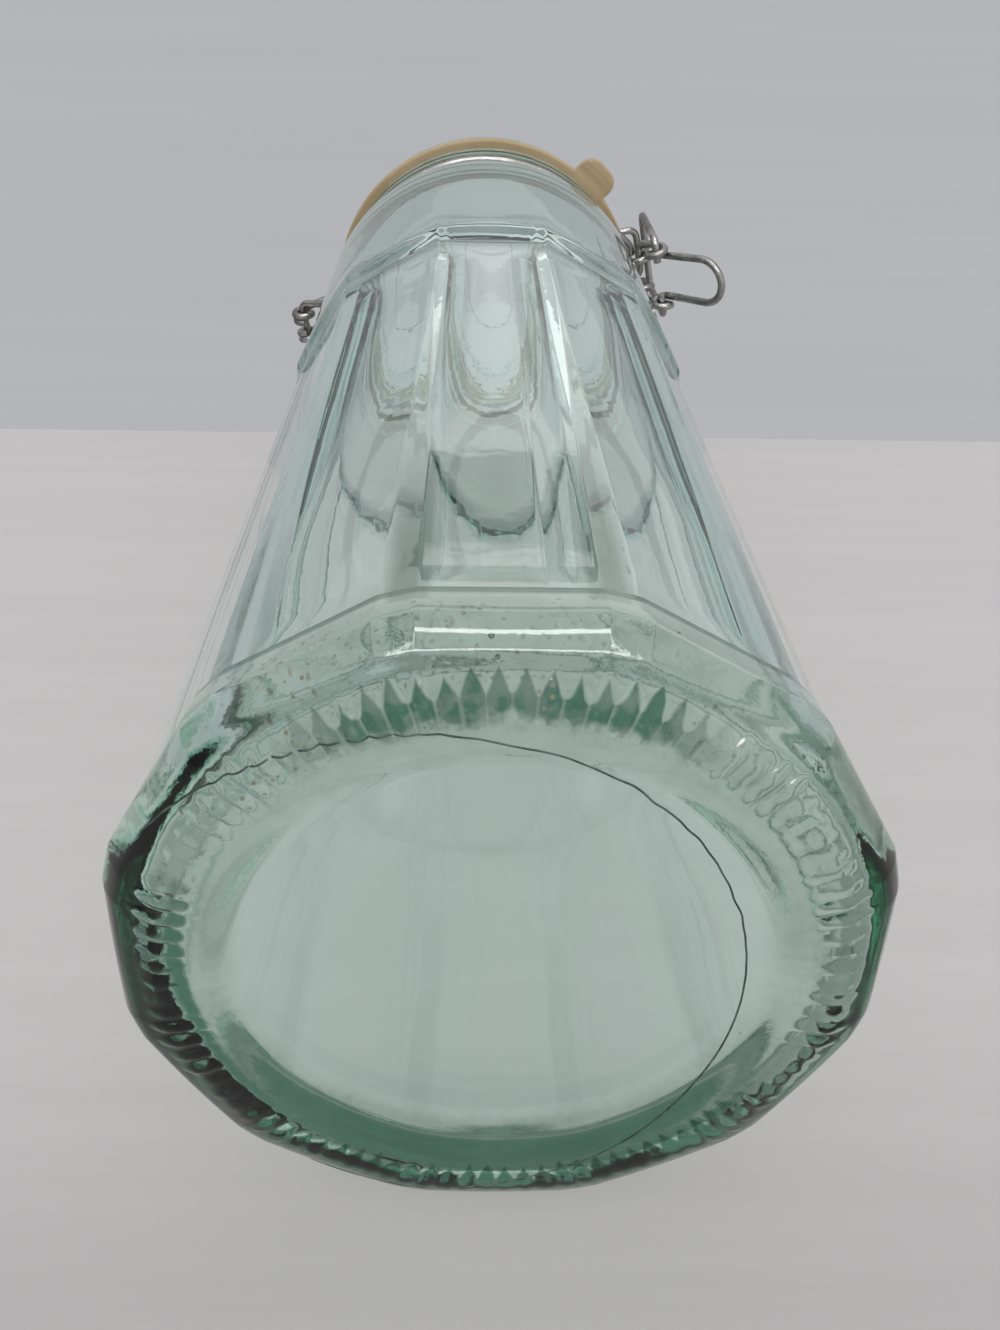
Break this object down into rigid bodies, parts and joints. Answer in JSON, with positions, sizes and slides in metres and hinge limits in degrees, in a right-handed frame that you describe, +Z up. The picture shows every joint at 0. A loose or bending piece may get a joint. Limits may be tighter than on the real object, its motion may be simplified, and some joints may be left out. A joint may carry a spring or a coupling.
{
  "type": "glass storage jar",
  "caption": "Tall faceted glass storage jar with a hinged glass lid, a rubber sealing ring and a bent wire clip closure with a finger loop.",
  "frame": {"origin": "on the surface that the jar stands on, under the middle of its bounding box; the jar's own axis stands 5.0 mm behind it, at Y = +5.0 mm, because the finger loop reaches further out than the hinge", "axes": "+Z up the jar's axis from the base to the lid, -Y towards the clasp at the front, +Y towards the hinge, +X to the right of someone who faces the clasp from behind the jar"},
  "size_m": [0.1188, 0.131, 0.2989],
  "materials": {
    "jar_glass": "clear pale blue-green, teal at the thick edges",
    "lid_glass": "clear pale blue-green, pressed",
    "gasket_rubber": "matt tan natural rubber",
    "steel_wire": "dull grey, slightly tarnished"
  },
  "bodies": {
    "jar": {"glass_jar": "jar_glass", "neck_wire": "steel_wire"},
    "lid": {"glass_lid": "lid_glass", "rubber_gasket": "gasket_rubber", "lid_wire": "steel_wire"},
    "lever": {"lever": "steel_wire"},
    "link": {"link_bail": "steel_wire"}
  },
  "joints": [
    {"name": "lid_hinge", "type": "hinge", "parent": "jar", "child": "lid", "pos_m": [0, 0.06191, 0.2811], "axis": [-1, 0, 0], "range_deg": [0, 200]},
    {"name": "lever_hinge", "type": "hinge", "parent": "jar", "child": "lever", "pos_m": [0, -0.04319, 0.2746], "axis": [-1, 0, 0], "range_deg": [0, 110]},
    {"name": "link_hinge", "type": "hinge", "parent": "lever", "child": "link", "pos_m": [0, -0.04779, 0.26647], "axis": [-1, 0, 0], "range_deg": [-154, 0]}
  ],
  "couplings": [
    {"joint": "link_hinge", "follows": "lever_hinge", "ratio": -1.4}
  ]
}
